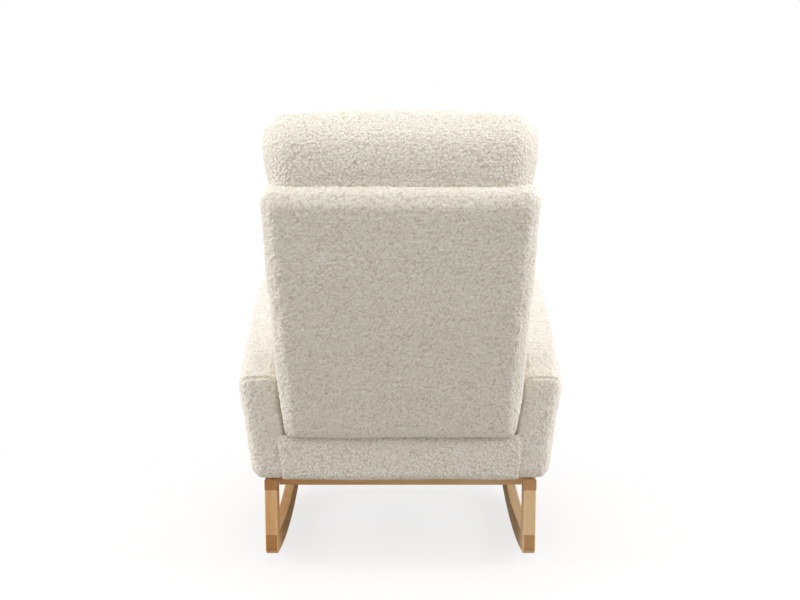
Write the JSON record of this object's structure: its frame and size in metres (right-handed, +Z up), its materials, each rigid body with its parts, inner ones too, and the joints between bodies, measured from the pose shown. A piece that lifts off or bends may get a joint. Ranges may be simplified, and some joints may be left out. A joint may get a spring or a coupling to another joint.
{
  "type": "nursing rocking chair",
  "caption": "Padded armchair with leaning back, head cushion and flared arms in cream sherpa, on a wooden base of closed side frames with curved rockers.",
  "frame": {"origin": "on the floor, midway between the rockers, where they touch it when the chair stands still", "axes": "+Z up, the sitter faces -Y, +X towards the sitter's left"},
  "size_m": [0.7194, 0.8786, 0.9614],
  "materials": {
    "sherpa": "cream curly pile over foam",
    "show_wood": "clear satin lacquer",
    "frame_board": "unfinished board",
    "steel": "zinc plated",
    "webbing": "elastic woven strap",
    "dust_cloth": "thin unwoven cloth"
  },
  "bodies": {
    "chair": {"arm_bolt_washers": "steel", "arm_bolts": "steel", "arm_inserts": "steel", "back_bolt_washers": "steel", "back_bolts": "steel", "back_bottom_rail": "frame_board", "back_cover": "sherpa", "back_cushion": "sherpa", "back_inserts": "steel", "back_middle_rail": "frame_board", "back_top_rail": "frame_board", "back_webbing": "webbing", "base_barrel_nuts": "steel", "base_bolts": "steel", "base_washers": "steel", "cross_barrel_nuts": "steel", "cross_bolts": "steel", "dust_cover": "dust_cloth", "frame_dowels": "show_wood", "front_stretcher": "show_wood", "head_cushion": "sherpa", "head_panel": "frame_board", "head_screws": "steel", "left_arm_cover": "sherpa", "left_arm_panel": "frame_board", "left_back_stile": "frame_board", "left_front_leg": "show_wood", "left_rear_leg": "show_wood", "left_rocker": "show_wood", "left_seat_rail": "frame_board", "left_side_rail": "show_wood", "rear_cross_rail": "show_wood", "right_arm_cover": "sherpa", "right_arm_panel": "frame_board", "right_back_stile": "frame_board", "right_front_leg": "show_wood", "right_rear_leg": "show_wood", "right_rocker": "show_wood", "right_seat_rail": "frame_board", "right_side_rail": "show_wood", "seat_corner_blocks": "frame_board", "seat_deck_pad": "sherpa", "seat_front_band": "sherpa", "seat_front_rail": "frame_board", "seat_rear_band": "sherpa", "seat_rear_rail": "frame_board", "seat_webbing_cross": "webbing", "seat_webbing_long": "webbing"},
    "cushion": {"seat_cushion": "sherpa"}
  },
  "joints": [
    {"name": "seat_cushion_lift", "type": "slide", "parent": "chair", "child": "cushion", "axis": [0, 0, 1], "range_m": [0, 0.3]}
  ]
}
